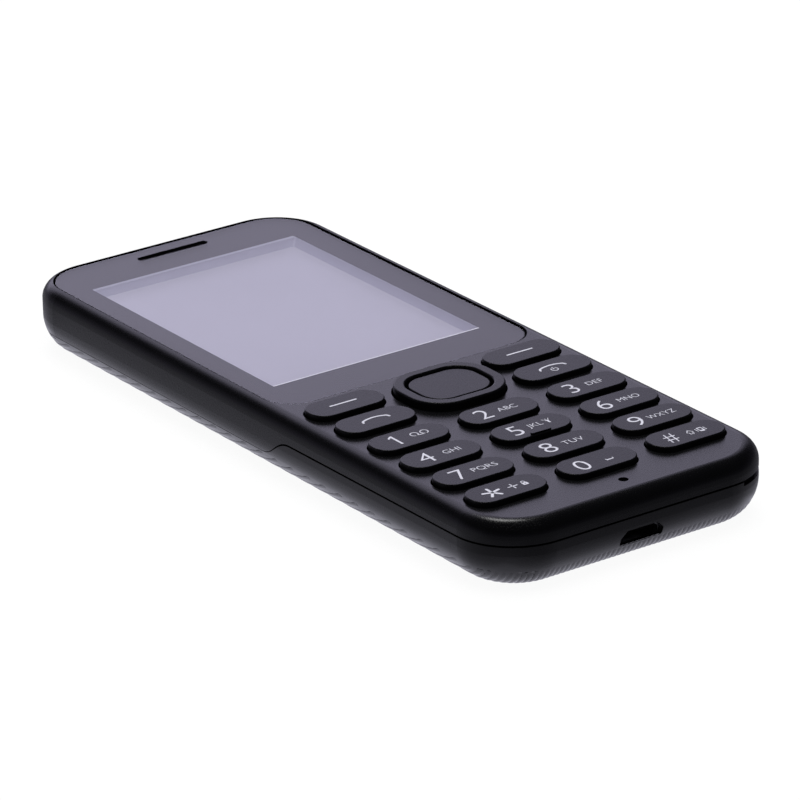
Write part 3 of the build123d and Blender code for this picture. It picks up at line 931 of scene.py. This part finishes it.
def make_ribs():
    whole = bmesh.new()
    reach = half_width + rib_slope * half_length
    count = int(reach / rib_pitch)
    for number in range(-count, count + 1):
        for run in rib_runs(number * rib_pitch):
            if len(run) > 2:
                add_rib(whole, run)
    bmesh.ops.recalc_face_normals(whole, faces=whole.faces)
    for face in whole.faces:
        face.smooth = len(face.verts) == 4
    mesh = finished_mesh("cover_ribs", whole)
    add_piece("cover_ribs", mesh, cover_plastic, "cover")


make_ribs()


# Floor, lights and camera

def smooth_step(tree, value, start, end, low=0.0, high=1.0):
    step = add_node(tree, "ShaderNodeMapRange", interpolation_type="SMOOTHSTEP")
    step.inputs["From Min"].default_value = start
    step.inputs["From Max"].default_value = end
    step.inputs["To Min"].default_value = low
    step.inputs["To Max"].default_value = high
    tree.links.new(value, step.inputs["Value"])
    return step.outputs["Result"]


def combined(tree, operation, first, second):
    math_node = add_node(tree, "ShaderNodeMath", operation=operation)
    for socket, value in zip(math_node.inputs, (first, second)):
        if isinstance(value, float):
            socket.default_value = value
        else:
            tree.links.new(value, socket)
    return math_node.outputs["Value"]


def straight_rays(tree):
    """One for rays that reach the camera directly or through something clear."""
    path = add_node(tree, "ShaderNodeLightPath")
    return combined(tree, "MAXIMUM", path.outputs["Is Camera Ray"], path.outputs["Is Transmission Ray"])


def floor_nearness(tree):
    """Light of the floor as the phone sees it: bright by its edges, dim far off, more on the left."""
    place = add_node(tree, "ShaderNodeNewGeometry")
    inward = add_node(tree, "ShaderNodeVectorMath", operation="ABSOLUTE")
    tree.links.new(place.outputs["Position"], inward.inputs[0])
    beyond = add_node(tree, "ShaderNodeVectorMath", operation="SUBTRACT")
    beyond.inputs[1].default_value = (half_width, half_length, 1.0)
    tree.links.new(inward.outputs["Vector"], beyond.inputs[0])
    outside = add_node(tree, "ShaderNodeVectorMath", operation="MAXIMUM")
    tree.links.new(beyond.outputs["Vector"], outside.inputs[0])
    distance = add_node(tree, "ShaderNodeVectorMath", operation="LENGTH")
    tree.links.new(outside.outputs["Vector"], distance.inputs[0])
    near = smooth_step(tree, distance.outputs["Value"], 0.0, near_floor_reach, near_floor_light, 0.0)
    edge = smooth_step(tree, distance.outputs["Value"], 0.0, edge_floor_reach, edge_floor_light, 0.0)
    light = combined(tree, "ADD", near, edge)
    axes = add_node(tree, "ShaderNodeSeparateXYZ")
    tree.links.new(place.outputs["Position"], axes.inputs["Vector"])
    left = smooth_step(tree, axes.outputs["X"], *left_floor_side, 0.0, left_floor_light)
    left = combined(tree, "MULTIPLY", left, smooth_step(tree, axes.outputs["Y"], *left_floor_front))
    return combined(tree, "ADD", combined(tree, "ADD", light, left), far_floor_light)


def make_floor():
    """A white sheet that shows the background and the shadow, and what is taken off the back below it."""
    mesh = bpy.data.meshes.new("floor")
    level = body_low[2] - rib_height
    turns = [(-1, -1), (1, -1), (1, 1), (-1, 1)]
    corners = [(x * floor_reach, y * floor_reach, level) for x, y in turns]
    mesh.from_pydata(corners, [], [(0, 1, 2, 3)])
    floor = bpy.data.objects.new("floor", mesh)
    bpy.context.scene.collection.objects.link(floor)
    material, tree, output = new_material("floor_white")
    matte = add_node(tree, "ShaderNodeBsdfDiffuse")
    tones = two_tones(tree, noise(tree, floor_patch), *floor_tones)
    tree.links.new(tones, matte.inputs["Color"])
    clear = add_node(tree, "ShaderNodeBsdfTransparent")
    seen = add_node(tree, "ShaderNodeMixShader")
    seen.inputs["Fac"].default_value = floor_clear
    tree.links.new(matte.outputs["BSDF"], seen.inputs[1])
    tree.links.new(clear.outputs["BSDF"], seen.inputs[2])
    mirrored = add_node(tree, "ShaderNodeEmission")
    mirrored.inputs["Color"].default_value = (*floor_tint, 1)
    tree.links.new(floor_nearness(tree), mirrored.inputs["Strength"])
    mix = add_node(tree, "ShaderNodeMixShader")
    tree.links.new(straight_rays(tree), mix.inputs["Fac"])
    tree.links.new(mirrored.outputs["Emission"], mix.inputs[1])
    tree.links.new(seen.outputs["Shader"], mix.inputs[2])
    tree.links.new(mix.outputs["Shader"], output.inputs["Surface"])
    mesh.materials.append(material)


def make_world():
    """A pale studio that is bright behind the phone, glows low on the left and is dark on the near side."""
    world = bpy.data.worlds.new("studio")
    bpy.context.scene.world = world
    world.use_nodes = True
    tree = world.node_tree
    tree.nodes.clear()
    output = tree.nodes.new("ShaderNodeOutputWorld")
    place = add_node(tree, "ShaderNodeTexCoord")
    axes = add_node(tree, "ShaderNodeSeparateXYZ")
    tree.links.new(place.outputs["Generated"], axes.inputs["Vector"])
    wall = smooth_step(tree, axes.outputs["Y"], *wall_back, 0.0, wall_light)
    wall = combined(tree, "MULTIPLY", wall, smooth_step(tree, axes.outputs["X"], *wall_side))
    wall = combined(tree, "MULTIPLY", wall, smooth_step(tree, axes.outputs["Z"], *wall_low))
    glow = smooth_step(tree, axes.outputs["X"], *glow_left_side, 0.0, glow_left_light)
    glow = combined(tree, "MULTIPLY", glow, smooth_step(tree, axes.outputs["Y"], *glow_left_front))
    glow = combined(tree, "ADD", glow, glow_light)
    fall = add_node(tree, "ShaderNodeMapRange")
    fall.inputs["From Max"].default_value = glow_height
    fall.inputs["To Min"].default_value = 1.0
    fall.inputs["To Max"].default_value = 0.0
    tree.links.new(axes.outputs["Z"], fall.inputs["Value"])
    glow = combined(tree, "MULTIPLY", glow, fall.outputs["Result"])
    studio = add_node(tree, "ShaderNodeBackground")
    studio.inputs["Color"].default_value = (*studio_tint, 1)
    tree.links.new(combined(tree, "ADD", wall, glow), studio.inputs["Strength"])
    white = add_node(tree, "ShaderNodeBackground")
    white.inputs["Color"].default_value = (1, 1, 1, 1)
    white.inputs["Strength"].default_value = background_white
    mix = add_node(tree, "ShaderNodeMixShader")
    tree.links.new(straight_rays(tree), mix.inputs["Fac"])
    tree.links.new(studio.outputs["Background"], mix.inputs[1])
    tree.links.new(white.outputs["Background"], mix.inputs[2])
    tree.links.new(mix.outputs["Shader"], output.inputs["Surface"])


def make_softbox(name, place, aim, size, power):
    lamp = bpy.data.lights.new(name, "AREA")
    lamp.shape = "RECTANGLE"
    lamp.size = size
    lamp.size_y = size
    lamp.energy = power
    softbox = bpy.data.objects.new(name, lamp)
    bpy.context.scene.collection.objects.link(softbox)
    softbox.location = place
    softbox.rotation_euler = (Vector(aim) - Vector(place)).to_track_quat("-Z", "Y").to_euler()
    return softbox


def make_camera():
    data = bpy.data.cameras.new("camera")
    data.sensor_width = camera_sensor
    data.lens = camera_lens
    data.clip_start = camera_near
    camera = bpy.data.objects.new("camera", data)
    bpy.context.scene.collection.objects.link(camera)
    turn = Matrix((camera_right, camera_down, camera_forward)).transposed()
    turn = turn @ Matrix.Diagonal((1, -1, -1))
    camera.matrix_world = Matrix.Translation(camera_place) @ turn.to_4x4()
    bpy.context.scene.camera = camera


make_floor()
make_world()
overhead = make_softbox("overhead_softbox", overhead_place, overhead_aim, overhead_size, overhead_power)
overhead.visible_glossy = False
make_softbox("corner_lamp", corner_place, corner_aim, corner_size, corner_power)
make_camera()
bpy.context.scene.view_settings.view_transform = "Standard"
